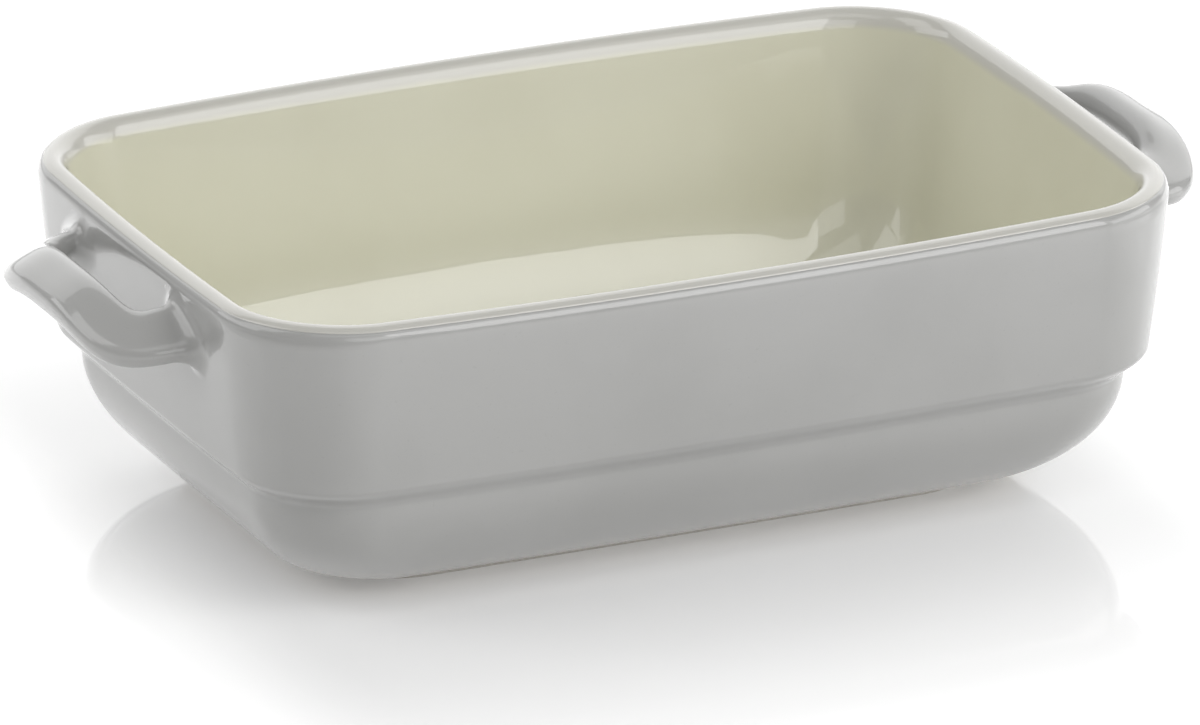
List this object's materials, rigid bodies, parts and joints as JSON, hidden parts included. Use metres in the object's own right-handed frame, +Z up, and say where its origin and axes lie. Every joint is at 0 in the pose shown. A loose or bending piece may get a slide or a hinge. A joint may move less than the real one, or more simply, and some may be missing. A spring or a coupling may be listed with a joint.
{
  "type": "baking dish",
  "caption": "Rectangular glazed stoneware baking dish with outward-bowed sides, a stepped ledge low on the wall and a loop handle at each end.",
  "frame": {"origin": "middle of the footprint, on the plane that the foot ring stands on", "axes": "+X along the dish from the left handle to the right handle, +Y across the dish, +Z up out of the cavity"},
  "size_m": [0.299, 0.172, 0.0815],
  "materials": {
    "fired_clay": "bare fired stoneware, matt",
    "ground_clay": "bare stoneware ground flat, matt",
    "grey_glaze": "glossy warm grey glaze",
    "cream_glaze": "glossy cream glaze, paler where it runs thin over the rim"
  },
  "bodies": {
    "root": {"dish_body": "fired_clay", "foot_ring": "ground_clay", "left_handle": "grey_glaze", "right_handle": "grey_glaze", "inner_glaze": "cream_glaze", "outer_glaze": "grey_glaze"}
  },
  "joints": []
}
